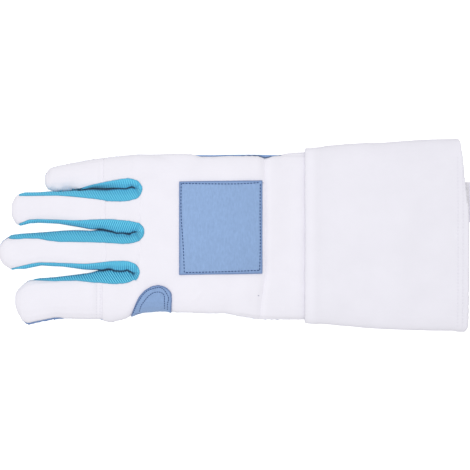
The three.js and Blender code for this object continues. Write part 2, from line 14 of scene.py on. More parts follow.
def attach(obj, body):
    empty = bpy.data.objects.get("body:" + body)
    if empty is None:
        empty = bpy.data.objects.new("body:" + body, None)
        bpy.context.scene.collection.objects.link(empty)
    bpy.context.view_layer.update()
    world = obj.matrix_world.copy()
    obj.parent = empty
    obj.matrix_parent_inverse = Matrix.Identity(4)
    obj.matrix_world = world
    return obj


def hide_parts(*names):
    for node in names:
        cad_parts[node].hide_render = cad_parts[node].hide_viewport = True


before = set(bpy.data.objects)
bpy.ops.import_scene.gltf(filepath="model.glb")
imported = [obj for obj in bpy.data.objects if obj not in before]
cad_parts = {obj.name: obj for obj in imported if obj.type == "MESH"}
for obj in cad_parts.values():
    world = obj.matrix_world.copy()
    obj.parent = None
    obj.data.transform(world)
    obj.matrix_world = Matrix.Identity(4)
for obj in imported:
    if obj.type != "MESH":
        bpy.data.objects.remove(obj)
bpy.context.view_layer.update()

# Backs of the fingers: four pieces of smooth white woven cloth over thin padding, cut to the fingers'
# outlines and sewn to the gussets along both sides. At the knuckle each ends in a flat felled seam under
# the back of the hand.
MM = 0.001
WHITE = (0.80, 0.785, 0.85)
THREADS_PER_METRE = 1500.0
# Where each back ends along X
KNUCKLES = {"little": -92.9, "ring": -91.5, "middle": -90.8, "index": -93.6}
# The felled seams in relief: how far ahead of the knuckle seam, half the width, and the height
PLAIN_FELL = ((1.9, 1.2, 0.1), (3.8, 1.0, -0.09))
INDEX_FELL = ((3.2, 1.0, 0.32), (0.8, 0.6, -0.3), (6.8, 2.2, -0.85))
INDEX_ROWS = {"index_seam_stitches_1": -95.1, "index_seam_stitches_2": -97.5}

# A solid's edges that are sharper than the first angle are cut edges, where cloth is sewn to cloth. The seam
# is smoothed along them, except round corners sharper than the second.
RIM_ANGLE = math.radians(48)
SOFT_BEND = math.radians(60)
SEAM_SPACING = 0.5
SEAM_ROUNDS = 150
SEAM_STEPS = (0.5, -0.52)
# How points near a cut edge are drawn onto it, at distances in voxels, and how far out they follow the seam
RIM_PULL = 0.85
RIM_REACH = (0.35, 0.9)
SEAM_REACH = (0.5, 5)
# Smoothing works in full from this far off the cut edges. Then the cloth swells and closes the seams.
SMOOTH_REACH = 2.5
SMOOTH_STEPS = (0.6, -0.61)
SEAM_CLOSE = 0.18
# A stitch's height as a share of its width, and a height from which rays fall on the glove
STITCH_FLATNESS = 0.7
ABOVE_GLOVE = 100

# How far the seams beside each finger lie towards +Y of the solids' edges: the middle of the finger, the
# seam's side of it, where its lower seam starts to rise, and the shift at each station along X
STATIONS = (-157, -148, -138, -126, -114, -104, -95, -87, -79, -71, -62)
SEAM_SHIFTS = {
    "little to ring": (47, -1, -117, (0, 0, -1.1, -2.5, -2.05, -1.65, -1.6, -1.6, -0.85, -0.8, 0)),
    "ring to little": (19.2, 1, -128, (0, 0, 0.3, 0.7, 1.0, 0.9, 1.0, 0.85, 0.4, 0.6, 0)),
    "ring to middle": (19.2, -1, -128, (-2.2, -1.9, -1, -0.9, -1.1, -0.9, -0.8, -0.9, -0.8, -1.1, 0)),
    "middle to ring": (-11.8, 1, -128, (-1.3, 0.3, 0.9, 1.3, 1.0, 0.6, 0.1, 0.4, 0, 0, 0)),
    "middle to index": (-11.8, -1, -128, (-0.6, -0.2, 0, -0.4, -1, -1.65, -1.3, -0.75, -0.35, -0.85, 0)),
    "index to middle": (-46.8, 1, -128, (0, 0, 0, 0, 0.7, 1.25, 1.45, 0.85, 0.25, 1.2, 0)),
}
FINGER_SIDE = (0.5, 3.5)
FINGER_REACH = 15
# Only upper seams are shifted. These heights divide them from the lower ones, where a lower one starts to
# rise and at two places along X.
SEAM_HEIGHTS = (5.2, 13.2, 18)
RISE_ENDS = (-96, -72)
HEIGHT_BLEND = 0.9
# The middle of each fork between two fingers, and how far its seam lies back along X
FORKS = {"little and ring": (32.3, 0.7), "ring and middle": (2.9, 0.7), "middle and index": (-25, -0.9)}
FORK_START = (-76, -68)
FORK_END = -58
FORK_HALF_WIDTH = 11
FORK_FLOOR = 20


def new_group(name, inputs, outputs):
    """An empty node group with float inputs (name, value) and outputs (name, socket type)."""
    group = bpy.data.node_groups.new(name, "ShaderNodeTree")
    for label, value in inputs:
        socket = group.interface.new_socket(label, in_out="INPUT", socket_type="NodeSocketFloat")
        socket.default_value = value
    for label, kind in outputs:
        group.interface.new_socket(label, in_out="OUTPUT", socket_type=kind)
    return group, group.nodes.new("NodeGroupInput"), group.nodes.new("NodeGroupOutput")


def add_node(tree, kind, **settings):
    """A node with its properties set by name, and its unlinked sockets by "in_NUMBER"."""
    node = tree.nodes.new(kind)
    for key, value in settings.items():
        if key.startswith("in_"):
            node.inputs[int(key[3:])].default_value = value
        else:
            setattr(node, key, value)
    return node


def link(tree, source, output, target, socket):
    tree.links.new(source.outputs[output], target.inputs[socket])


def add_range(tree, **ends):
    """A map range node whose ends are set by name, such as from_min."""
    node = add_node(tree, "ShaderNodeMapRange")
    for key, value in ends.items():
        node.inputs[key.replace("_", " ").title()].default_value = value
    return node


def add_relief(tree, shader, source, output, strength, depth):
    """Turns a node's output into relief of the surface. The depth is in millimetres."""
    relief = add_node(tree, "ShaderNodeBump")
    relief.inputs["Strength"].default_value = strength
    relief.inputs["Distance"].default_value = depth * MM
    link(tree, source, output, relief, "Height")
    link(tree, relief, "Normal", shader, "Normal")


# A plain weave: two crossed sets of fine waves, as a height
weave, weave_in, weave_out = new_group(
    "Weave", [("Threads per metre", THREADS_PER_METRE)], [("Height", "NodeSocketFloat")]
)
place = add_node(weave, "ShaderNodeTexCoord")
parts = add_node(weave, "ShaderNodeSeparateXYZ")
link(weave, place, "Object", parts, 0)
waves = []
for axis in ("X", "Y"):
    turns = add_node(weave, "ShaderNodeMath", operation="MULTIPLY")
    link(weave, parts, axis, turns, 0)
    link(weave, weave_in, "Threads per metre", turns, 1)
    angle = add_node(weave, "ShaderNodeMath", operation="MULTIPLY", in_1=math.tau)
    link(weave, turns, 0, angle, 0)
    wave = add_node(weave, "ShaderNodeMath", operation="SINE")
    link(weave, angle, 0, wave, 0)
    waves.append(wave)
crossed = add_node(weave, "ShaderNodeMath", operation="MULTIPLY")
link(weave, waves[0], 0, crossed, 0)
link(weave, waves[1], 0, crossed, 1)
link(weave, crossed, 0, weave_out, "Height")

# Soft clouds of tone, and a fine grain with a nap that lies one way, for cloth, suede and knit alike
NOISE_LOW = 0.3
NOISE_HIGH = 0.7
GRAINS_PER_METRE = 1100.0
NAP_ANGLE = math.radians(-52)
NAP_SHARE = 0.28
mottle, mottle_in, mottle_out = new_group(
    "Mottle",
    [("Scale", 60.0), ("Low", 0.94), ("High", 1.04)],
    [("Tone", "NodeSocketFloat"), ("Grain", "NodeSocketFloat")],
)
place = add_node(mottle, "ShaderNodeTexCoord")
clouds = add_node(mottle, "ShaderNodeTexNoise", in_3=4.0, in_4=0.55)
link(mottle, place, "Object", clouds, "Vector")
link(mottle, mottle_in, "Scale", clouds, "Scale")
spread = add_range(mottle, from_min=NOISE_LOW, from_max=NOISE_HIGH)
link(mottle, clouds, "Fac", spread, "Value")
link(mottle, mottle_in, "Low", spread, "To Min")
link(mottle, mottle_in, "High", spread, "To Max")
link(mottle, spread, "Result", mottle_out, "Tone")
nap = add_node(mottle, "ShaderNodeMapping")
nap.inputs["Rotation"].default_value = (0, 0, NAP_ANGLE)
nap.inputs["Scale"].default_value = (1, NAP_SHARE, 1)
link(mottle, place, "Object", nap, "Vector")
grain = add_node(mottle, "ShaderNodeTexNoise")
grain.inputs["Scale"].default_value = GRAINS_PER_METRE
grain.inputs["Detail"].default_value = 2.0
link(mottle, nap, "Vector", grain, "Vector")
link(mottle, grain, "Fac", mottle_out, "Grain")


def new_material(name, roughness, sheen=0.0):
    material = bpy.data.materials.new(name)
    material.use_nodes = True
    tree = material.node_tree
    shader = tree.nodes["Principled BSDF"]
    shader.inputs["Roughness"].default_value = roughness
    shader.inputs["Specular IOR Level"].default_value = 0.2
    shader.inputs["Sheen Weight"].default_value = sheen
    shader.inputs["Sheen Roughness"].default_value = 0.6
    return material, tree, shader


def cloth_material(name, colour):
    """Smooth woven cloth: a fine weave in relief, very soft clouds, and a tone painted on each piece, mostly
    painted shade and highlight along its seams, pleats and folds.
    """
    material, tree, shader = new_material(name, 0.85, 0.05)
    clouds = add_node(tree, "ShaderNodeGroup", node_tree=mottle, in_0=45.0, in_1=0.98, in_2=1.01)
    tone = add_node(tree, "ShaderNodeAttribute", attribute_name="tone")
    total = add_node(tree, "ShaderNodeMath", operation="ADD")
    link(tree, clouds, "Tone", total, 0)
    link(tree, tone, "Fac", total, 1)
    tint = add_node(tree, "ShaderNodeVectorMath", operation="SCALE", in_0=colour)
    link(tree, total, 0, tint, "Scale")
    link(tree, tint, 0, shader, "Base Color")
    threads = add_node(tree, "ShaderNodeGroup", node_tree=weave, in_0=THREADS_PER_METRE)
    add_relief(tree, shader, threads, "Height", 0.12, 0.1)
    return material


def ramp(values, start, end):
    """0 at the start and 1 at the end, with soft ends."""
    share = np.clip((values - start) / (end - start), 0, 1)
    return share * share * (3 - 2 * share)


def between(values, start, full, fading, end):
    """1 from full to fading, and 0 before the start and past the end."""
    return ramp(values, start, full) * (1 - ramp(values, fading, end))


def bell(values, centre, width):
    return np.exp(-(((values - centre) / width) ** 2))


def crumple(x, y, depth):
    """The broad, soft unevenness of cloth that was folded and put on."""
    return depth * np.sin(x / 6.3 + 1.7 * np.sin(y / 11)) * np.sin(y / 7.9 + 1.3 * np.sin(x / 13))


def neighbour_mean(values, edges):
    a, b = edges.T
    count = np.bincount(edges.ravel(), minlength=len(values))
    total = [
        np.bincount(a, values[b, axis], len(values)) + np.bincount(b, values[a, axis], len(values))
        for axis in range(values.shape[1])
    ]
    return np.stack(total, 1) / count[:, None]


def get_points(mesh):
    """A mesh's points in metres."""
    points = np.empty(3 * len(mesh.vertices))
    mesh.vertices.foreach_get("co", points)
    return points.reshape(-1, 3)


def set_points(mesh, points):
    """Moves a mesh's points, given in metres."""
    mesh.vertices.foreach_set("co", points.ravel())
    mesh.update()


def set_attribute(obj, name, values):
    attribute = obj.data.attributes.new(name, "FLOAT", "POINT")
    attribute.data.foreach_set("value", values.astype(np.float32))


def seam_lines(work):
    """Points in metres along a solid's cut edges, and the same points as the sewn seam runs."""
    places, pairs, numbers = [], [], {}
    for edge in work.edges:
        if len(edge.link_faces) != 2 or edge.calc_face_angle() < RIM_ANGLE:
            continue
        for vert in edge.verts:
            if vert not in numbers:
                numbers[vert] = len(places)
                places.append(vert.co.copy())
        a, b = edge.verts
        steps = max(1, round(edge.calc_length() / (SEAM_SPACING * MM)))
        chain = [numbers[a], *range(len(places), len(places) + steps - 1), numbers[b]]
        places += [a.co.lerp(b.co, k / steps) for k in range(1, steps)]
        pairs += zip(chain, chain[1:])
    rim = np.array(places)
    beside = [[] for _ in places]
    for a, b in pairs:
        beside[a].append(b)
        beside[b].append(a)
    ahead, behind = np.array([near if len(near) == 2 else (k, k) for k, near in enumerate(beside)]).T
    there, back = rim[ahead] - rim, rim - rim[behind]
    lengths = np.linalg.norm(there, axis=1) * np.linalg.norm(back, axis=1)
    straight = (there * back).sum(1) / np.maximum(lengths, 1e-12)
    soft = (ahead != behind) & (straight > math.cos(SOFT_BEND))
    seam = rim.copy()
    for _ in range(SEAM_ROUNDS):
        for step in SEAM_STEPS:
            seam += step * soft[:, None] * ((seam[ahead] + seam[behind]) / 2 - seam)
    x, y, z = seam.T / MM
    for middle, side, rise, shifts in SEAM_SHIFTS.values():
        across = side * (y - middle)
        own = ramp(across, *FINGER_SIDE) * (across < FINGER_REACH)
        upper = ramp(z - np.interp(x, (rise, *RISE_ENDS), SEAM_HEIGHTS), 0, HEIGHT_BLEND)
        seam[:, 1] += np.interp(x, STATIONS, shifts) * own * upper * MM
    for middle, reach in FORKS.values():
        inside = (x < FORK_END) & (np.abs(y - middle) < FORK_HALF_WIDTH) & (z > FORK_FLOOR)
        seam[:, 0] += reach * ramp(x, *FORK_START) * inside * MM
    return rim, seam


def fine_copy(node, name, voxel, rounds, hold=0.03):
    """A remeshed and smoothed copy of a solid, its points in millimetres, and their distances from cut edges.
    Smoothing works at the share "hold" on the edges themselves."""
    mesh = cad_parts[node].data.copy()
    work = bmesh.new()
    work.from_mesh(mesh)
    bmesh.ops.remove_doubles(work, verts=work.verts, dist=0.002 * MM)
    rim, seam = seam_lines(work)
    work.to_mesh(mesh)
    work.free()
    obj = bpy.data.objects.new(name, mesh)
    bpy.context.scene.collection.objects.link(obj)
    remesh = obj.modifiers.new("Remesh", "REMESH")
    remesh.mode = "VOXEL"
    remesh.voxel_size = voxel * MM
    graph = bpy.context.evaluated_depsgraph_get()
    fine = bpy.data.meshes.new_from_object(obj.evaluated_get(graph))
    obj.modifiers.clear()
    obj.data = fine
    fine.name = name
    tree = kdtree.KDTree(len(rim))
    for index, point in enumerate(rim):
        tree.insert(point, index)
    tree.balance()
    found = [tree.find(v.co) for v in fine.vertices]
    nearest = np.array([hit[1] for hit in found])
    distance = np.array([hit[2] for hit in found]) / MM
    points = get_points(fine)
    pull = RIM_PULL * (1 - ramp(distance / voxel, *RIM_REACH))
    points += pull[:, None] * (rim[nearest] - points)
    points += (1 - ramp(distance, *SEAM_REACH))[:, None] * (seam - rim)[nearest]
    edges = np.empty(2 * len(fine.edges), int)
    fine.edges.foreach_get("vertices", edges)
    edges = edges.reshape(-1, 2)
    weight = np.clip(distance / SMOOTH_REACH, hold, 1)[:, None]
    for _ in range(rounds):
        for step in SMOOTH_STEPS:
            points += step * weight * (neighbour_mean(points, edges) - points)
    set_points(fine, points)
    fine.shade_smooth()
    normals = np.empty(3 * len(points))
    fine.vertices.foreach_get("normal", normals)
    return obj, points / MM + SEAM_CLOSE * normals.reshape(-1, 3), distance


def settle(points):
    """Where the whole glove's cloth ends up: tips and mouth reach out a little, edges draw in or spread."""
    x, y = points.T[:2].copy()
    tips = ramp(-x, 96, 132)
    mouth = ramp(x, 120, 156) * (1.2 + 0.7 * ramp(y, 30, 58))
    wrist_pleat = ramp(-y, 25, 55) * bell(x, 21, 10)
    points[:, 0] += mouth - 1.3 * tips - 3 * wrist_pleat
    index_side = ramp(-y, 44, 52)
    beside_crotch_patch = between(x, -80, -62, -50, -42)
    beside_back_patch = bell(x, -8, 7)
    cuff_middle = bell(x, 96, 16)
    points[:, 1] += index_side * (1.8 * beside_crotch_patch + beside_back_patch - 0.55 * cuff_middle - 0.45)
    little_side = ramp(y, 44, 54)
    hand_edge = bell(x, -40, 10) + bell(x, -6, 7)
    cuff_front = between(x, 54, 64, 84, 108)
    points[:, 1] += little_side * (0.45 * hand_edge + cuff_front + 0.35)


def finish_piece(obj, points, material, node):
    settle(points)
    set_points(obj.data, points * MM)
    obj.data.materials.clear()
    obj.data.materials.append(material)
    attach(obj, "root")
    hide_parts(node)


def sew(name, surface, path, material, dash, gap, radius, sink=0.12):
    """A row of stitches along a path of X and Y over a surface's top, made as one piece."""
    tree = BVHTree.FromObject(surface, bpy.context.evaluated_depsgraph_get())
    path = np.array(path, float)
    lengths = np.concatenate([[0], np.cumsum(np.linalg.norm(np.diff(path, axis=0), axis=1))])

    def seat(distance):
        x, y = (np.interp(distance, lengths, path[:, axis]) for axis in (0, 1))
        hit = tree.ray_cast(Vector((x * MM, y * MM, ABOVE_GLOVE * MM)), Vector((0, 0, -1)))
        return hit[0], hit[1]

    work = bmesh.new()
    for start in np.arange(0, lengths[-1] - dash + 0.01, dash + gap):
        first, _ = seat(start)
        last, _ = seat(start + dash)
        centre, normal = seat(start + dash / 2)
        if first is None or last is None or centre is None:
            continue
        along = (last - first).normalized()
        across = normal.cross(along).normalized()
        basis = Matrix((along, across, along.cross(across))).transposed().to_4x4()
        height = radius * STITCH_FLATNESS
        shape = Matrix.Diagonal((dash * MM / 2, radius * MM, height * MM, 1))
        spot = Matrix.Translation(centre + normal * (height - sink) * MM)
        bmesh.ops.create_uvsphere(work, u_segments=6, v_segments=5, radius=1, matrix=spot @ basis @ shape)
    mesh = bpy.data.meshes.new(name)
    work.to_mesh(mesh)
    work.free()
    mesh.shade_smooth()
    mesh.materials.append(material)
    obj = bpy.data.objects.new(name, mesh)
    bpy.context.scene.collection.objects.link(obj)
    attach(obj, "root")
    return obj


white_cloth = cloth_material("White cloth", WHITE)
white_thread, tree, shader = new_material("White thread", 0.7)
shader.inputs["Base Color"].default_value = (0.74, 0.725, 0.79, 1)

for finger, seam in KNUCKLES.items():
    node = f"finger_back_{finger}"
    obj, points, distance = fine_copy(node, f"{node}_cloth", 0.5, 90)
    x, y, z = points.T
    under = ramp(x, seam - 1.4, seam)
    z -= 0.4 * bell(distance, 0, 1.4) * (1 - ramp(x, seam - 4, seam - 2)) + 0.6 * under
    x += 0.8 * under
    z += crumple(x, y, 0.16) * (1 - under)
    for ahead, width, height in INDEX_FELL if finger == "index" else PLAIN_FELL:
        z += height * bell(x, seam - ahead, width)
    # Painted highlight just ahead of each knuckle seam; on the index also a painted shade in the dip of its
    # fold.
    tone = 0.006 * bell(x, seam - 2.4, 1.0)
    if finger == "index":
        tone -= 0.012 * bell(x, seam - 7.4, 2.6)
        y += 1.2 * between(x, -150, -144, -124, -118) * ramp(-y, 44, 54)
        y += 0.5 * ramp(x, -102, -95) * ramp(-y, 50, 58)
    set_attribute(obj, "tone", tone)
    finish_piece(obj, points, white_cloth, node)
    if finger == "index":
        for name, row in INDEX_ROWS.items():
            path = [(row, -34.5), (row, -46), (row - 0.3, -58.6)]
            sew(name, obj, path, white_thread, dash=1.4, gap=0.6, radius=0.24)

# Back of the hand: one large piece of the same cloth, forked between the fingers. Its front edge laps over
# the finger backs and its rear edge is caught in the pleat at the wrist. A narrow edge of suede shows beside
# it.
HEEL_STEP = 0.9
LANES = {"little": (32.3, 70), "ring": (2.9, 32.3), "middle": (-25, 2.9), "index": (-70, -25)}
SIDE_SEAM = ((1, 18, 30, 48), (-54.3, -56.4, -57.2, -57.6))
# A slanting fold on the index side: a point on it, the direction across it, and half its width and length
FOLD = ((-27.4, -43.1), (0.7071, -0.7071), 1.3, 6.3639)


def heel_step(x, y):
    """How far the edge on the index side stands out just behind the index finger's seam."""
    return HEEL_STEP * between(x, -93.6, -92.6, -89, -78) * ramp(-y, 48, 58)


def ridge(x, y, point, across, width, length):
    """A short straight ridge through a point, as a share of its height."""
    beside = (x - point[0]) * across[0] + (y - point[1]) * across[1]
    along = (y - point[1]) * across[0] - (x - point[0]) * across[1]
    return bell(beside, 0, width) * bell(along, 0, length)


obj, points, distance = fine_copy("hand_back", "hand_back_cloth", 0.8, 140)
x, y, z = points.T
lap = np.zeros(len(x))
for finger, seam in KNUCKLES.items():
    low, high = LANES[finger]
    lap += ((y > low) & (y <= high)) * (1 - ramp(x, seam - 0.3, seam + 2.6))
z -= 0.45 * bell(distance, 0, 1.5) * (1 - lap)
z -= 0.3 * lap * lap
x -= 0.45 * lap
under = ramp(x, 17, 20)
z += crumple(x, y, 0.2) * (1 - lap) * (1 - under)
z -= 0.5 * under
x += 0.9 * under
y -= heel_step(x, y)
y -= 1.6 * ramp(x, -32, -24) * ramp(y, 38, 56)
y -= 1.0 * bell(x, 20.5, 3.5) * ramp(y, 44, 56)
side_seam = np.interp(x, *SIDE_SEAM)
z -= 0.3 * bell(y, side_seam, 0.5) * ramp(x, 0, 4)
z += 0.35 * ridge(x, y, *FOLD)
# Painted shade in the wrist pleat's groove near both edges, and in the groove of the side seam.
tone = -0.012 * bell(x, 17.6, 1.8) * (ramp(y, 28, 40) + ramp(-y, 26, 40))
tone -= 0.06 * bell(y, side_seam, 0.7) * ramp(x, 0, 4)
set_attribute(obj, "tone", tone)
finish_piece(obj, points, white_cloth, "hand_back")
hand_cloth = obj

# Gussets: between each two fingers one long strip of ribbed turquoise knit is folded round the fork and sewn
# to both fingers' backs. Where the fingers lie together its two sides meet in a deep crease, which hooks at
# the fork.
# The ribs show as bump and as colour: each furrow is painted in a dark shade of the turquoise and each ridge
# in a painted highlight, the knit's own colour lying between them.
KNIT_RIB_SHADE = (0.006, 0.205, 0.41, 1)
KNIT_RIB_HIGHLIGHT = (0.17, 0.68, 0.90, 1)
# Painted shade: the navy that the crease's deep groove is painted with.
CREASE_SHADE_BLUE = (0.002, 0.045, 0.13, 1)
turquoise_knit, tree, shader = new_material("Turquoise knit", 0.8, 0.1)
rib = add_node(tree, "ShaderNodeAttribute", attribute_name="rib")
angle = add_node(tree, "ShaderNodeMath", operation="MULTIPLY", in_1=math.tau)
link(tree, rib, "Fac", angle, 0)
wave = add_node(tree, "ShaderNodeMath", operation="SINE")
link(tree, angle, 0, wave, 0)
depth = add_node(tree, "ShaderNodeAttribute", attribute_name="rib_depth")
patchy = add_node(tree, "ShaderNodeGroup", node_tree=mottle, in_0=260.0, in_1=0.55, in_2=1.3)
# How strongly the ribs' painted shade and highlight show, as deep as the attribute says and broken into
# patches.
amount = add_node(tree, "ShaderNodeMath", operation="MULTIPLY")
link(tree, depth, "Fac", amount, 0)
link(tree, patchy, "Tone", amount, 1)
ribs = add_node(tree, "ShaderNodeMath", operation="MULTIPLY")
link(tree, wave, 0, ribs, 0)
link(tree, amount, 0, ribs, 1)
share = add_range(tree, from_min=-1.0)
link(tree, ribs, 0, share, "Value")
knit = add_node(tree, "ShaderNodeMix", data_type="RGBA", in_6=KNIT_RIB_SHADE, in_7=KNIT_RIB_HIGHLIGHT)
link(tree, share, "Result", knit, 0)
crease = add_node(tree, "ShaderNodeAttribute", attribute_name="crease")
tone = add_node(tree, "ShaderNodeAttribute", attribute_name="tone")
lit = add_node(tree, "ShaderNodeMath", operation="ADD", in_1=1.0)
link(tree, tone, "Fac", lit, 0)
side_lit = add_node(tree, "ShaderNodeVectorMath", operation="SCALE")
link(tree, knit, 2, side_lit, 0)
link(tree, lit, 0, side_lit, "Scale")
deep = add_node(tree, "ShaderNodeMix", data_type="RGBA", in_7=CREASE_SHADE_BLUE)
link(tree, crease, "Fac", deep, 0)
link(tree, side_lit, 0, deep, 6)
link(tree, deep, 2, shader, "Base Color")
add_relief(tree, shader, share, "Result", 0.4, 0.3)

# Each crease from the tips towards the fork: X, Y and half the width of its painted shade
CREASES = {
    "little_ring": [
        (-115.5, 31.8, 0.3), (-112, 31.9, 0.4), (-107, 32.2, 0.5), (-101, 32.8, 0.95),
        (-91, 32.4, 1.05), (-86, 32.7, 0.8), (-82, 32.8, 0.45), (-77, 32.6, 0.4), (-74.4, 33.5, 0.6),
        (-72.6, 33.9, 0.85), (-71, 33, 0.8),
    ],
    "ring_middle": [
        (-97, 4, 0.8), (-93.5, 3.9, 0.8), (-90, 3.2, 0.75), (-86.4, 2.5, 0.7), (-84, 1.5, 0.45),
        (-79, 1.6, 0.4), (-76.4, 1.1, 0.75), (-74.2, 0.9, 0.8), (-72.9, 2, 0.45), (-69.9, 2.6, 0.4),
    ],
    "middle_index": [
        (-98.5, -24.4, 0.6), (-93.4, -24.4, 0.7), (-89.9, -23.6, 0.8), (-87.4, -23.7, 0.75),
        (-85, -24.7, 0.5), (-81, -25, 0.45), (-78.3, -24.8, 0.45), (-76.2, -24.2, 0.5),
        (-74.8, -24.9, 0.6), (-72.2, -26, 0.5),
    ],
}
# A crease closes between these distances past its start, and opens again between these past its end
CREASE_CLOSES = (-6, 2)
CREASE_OPENS = (2, 6)
# For each side of a crease: ribs per millimetre along X and Y, how deep they show at the tips and at the
# fork, and how much lighter that side is painted, as painted light and shade for how light falls on it
RIBS = {
    "little_ring": ((0.64, 0.2, 0.12, 0.45, 0.12), (0.56, 0.42, 0.4, 0.5, 0)),
    "ring_middle": ((0.64, -0.33, 0.45, 0.85, 0.06), (0.56, 0.42, 0.5, 0.6, -0.06)),
    "middle_index": ((0.7, 0.02, 0.45, 0.7, 0.07), (0.536, 0.457, 0.8, 1.25, -0.05)),
}
FORK_MIDDLES = {"little_ring": 32.28, "ring_middle": 2.88, "middle_index": -25.02}
for pair, middle in FORK_MIDDLES.items():
    node = f"gusset_{pair}"
    obj, points, distance = fine_copy(node, f"{node}_knit", 0.55, 25)
    x, y, z = points.T
    z -= 0.35 * bell(distance, 0, 1.2)
    across = y - middle
    route_x, route_y, route_width = np.array(CREASES[pair]).T
    start, end = route_x[0], route_x[-1]
    closing = [start + further for further in CREASE_CLOSES]
    opening = [end + further for further in CREASE_OPENS]
    closed = between(x, *closing, *opening)
    y -= np.sign(across) * closed * np.clip(0.42 - 0.25 * np.abs(across), 0, None)
    line = np.interp(x, route_x, route_y)
    y += (line - middle) * closed * (1 - ramp(np.abs(across), 0, 5.5))
    near_side = ramp(across, -6.5, -1) * (across < 0.6)
    if pair == "ring_middle":
        y += 1.0 * bell(x, -112, 16) * (1 - closed) * near_side
    if pair == "little_ring":
        far_side = ramp(across, 3, 1) * (across > 0)
        y += 0.9 * bell(x, -113, 5) * near_side
        y -= 1.1 * bell(x, -112.5, 4) * far_side * ramp(distance, 0.3, 1.5)
    rates = np.where(across[:, None] > 0, *RIBS[pair])
    rib_count = rates[:, 0] * x + rates[:, 1] * (y - np.sign(across) * 0.25 * z)
    rib_depth = rates[:, 2] + (rates[:, 3] - rates[:, 2]) * ramp(x, -115, -85)
    rib_depth *= 0.25 + 0.75 * ramp(distance, 0.6, 1.8)
    width = np.interp(x, route_x, route_width)
    shown = closed * (1 - ramp(z, 25, 28)) * (1 - ramp(x, end, end + 1.0))
    # The crease is painted as a dark line of shade, with a soft painted shade beside it on the little and
    # ring fingers' strip and a faint painted shade along the gusset's sunk seams.
    dark = shown * bell(y, line, width)
    if pair == "little_ring":
        shade = 0.35 * shown * bell(y, line + 1.2, 2.6) * bell(x, -100, 12) * (y > line)
        dark = np.maximum(dark, shade)
    set_attribute(obj, "rib", rib_count)
    set_attribute(obj, "rib_depth", rib_depth)
    # Painted light and shade: one side of the strip painted lighter than the other.
    set_attribute(obj, "tone", rates[:, 4])
    set_attribute(obj, "crease", np.maximum(dark, 0.12 * bell(distance, 0, 0.9)))
    finish_piece(obj, points, turquoise_knit, node)

# Palm and the thumb's front: soft blue suede. The palm is one piece from the finger tips to under the wrist,
# and the thumb lies folded flat below it. The cut edges are painted darker: partly the suede's darker cut
# edge, partly painted shade under the white backs' edges.
SUEDE = (0.253, 0.38, 0.622)
SUEDE_EDGE = (0.115, 0.18, 0.37, 1)
CUT_EDGE = 0.7
blue_suede, tree, shader = new_material("Blue suede", 0.95, 0.15)
clouds = add_node(tree, "ShaderNodeGroup", node_tree=mottle, in_0=420.0, in_1=0.962, in_2=1.035)
streaks = add_range(tree, from_min=NOISE_LOW, from_max=NOISE_HIGH, to_min=0.94, to_max=1.05)
link(tree, clouds, "Grain", streaks, "Value")
mixed = add_node(tree, "ShaderNodeMath", operation="MULTIPLY")
link(tree, clouds, "Tone", mixed, 0)
link(tree, streaks, "Result", mixed, 1)
tone = add_node(tree, "ShaderNodeAttribute", attribute_name="tone")
total = add_node(tree, "ShaderNodeMath", operation="ADD")
link(tree, mixed, 0, total, 0)
link(tree, tone, "Fac", total, 1)
tint = add_node(tree, "ShaderNodeVectorMath", operation="SCALE", in_0=SUEDE)
link(tree, total, 0, tint, "Scale")
cut = add_node(tree, "ShaderNodeAttribute", attribute_name="edge")
edge = add_node(tree, "ShaderNodeMix", data_type="RGBA", in_7=SUEDE_EDGE)
link(tree, cut, "Fac", edge, 0)
link(tree, tint, 0, edge, 6)
link(tree, edge, 2, shader, "Base Color")
add_relief(tree, shader, clouds, "Grain", 0.35, 0.2)

# The cut edge of the palm beside the back of the hand and the wrist, as X and Y. There the painted edge shade
# is mostly taken off and the suede is painted lighter, a painted light.
WRIST_LINE = ((-42, -30, -16, -4, 8, 20, 30, 36), (57.6, 56.3, 56.2, 56.5, 56.6, 56.6, 56.3, 57.6))
obj, points, distance = fine_copy("palm", "palm_suede", 0.9, 90, 0.3)
x, y, z = points.T
beside_wrist = ramp(x, -34, -26) * ramp(y, 48, 56)
# Painted shade along the cut edges, with the darker cut edge, mostly taken off beside the wrist, where the
# suede is painted lighter instead.
set_attribute(obj, "edge", CUT_EDGE * (1 - ramp(distance, 0.5, 2)) * (1 - 0.85 * beside_wrist))
set_attribute(obj, "tone", 0.15 * beside_wrist)
y -= heel_step(x, y)
y -= 0.25 * between(x, -152, -146, -124, -118) * ramp(-y, 44, 54)
y += (0.5 + 0.6 * bell(x, 15, 8)) * beside_wrist
finish_piece(obj, points, blue_suede, "palm")
x, y, z = points.T
bare = (x > WRIST_LINE[0][0]) & (x < WRIST_LINE[0][-1])
points[:, 1] = np.where(bare, np.minimum(y, np.interp(x, *WRIST_LINE)), y)
set_points(obj.data, points * MM)
obj, points, distance = fine_copy("thumb_front", "thumb_front_suede", 0.8, 60)
set_attribute(obj, "edge", CUT_EDGE * (1 - ramp(distance, 0.5, 2)))
finish_piece(obj, points, blue_suede, "thumb_front")

# Back of the thumb: one piece of white cloth like the other backs, sewn to the suede of its front. It lies
# underneath, as the side that the glove rests on.
obj, points, _ = fine_copy("thumb_back", "thumb_back_cloth", 0.8, 40)
finish_piece(obj, points, white_cloth, "thumb_back")

# Patches of the same suede: a near square on the back of the hand, with one row of blue thread, and a round
# one over the fork between index finger and thumb, with two. The rows wander a little, as hand-guided rows
# do.
blue_thread, tree, shader = new_material("Blue thread", 0.7)
shader.inputs["Base Color"].default_value = (0.014, 0.045, 0.16, 1)


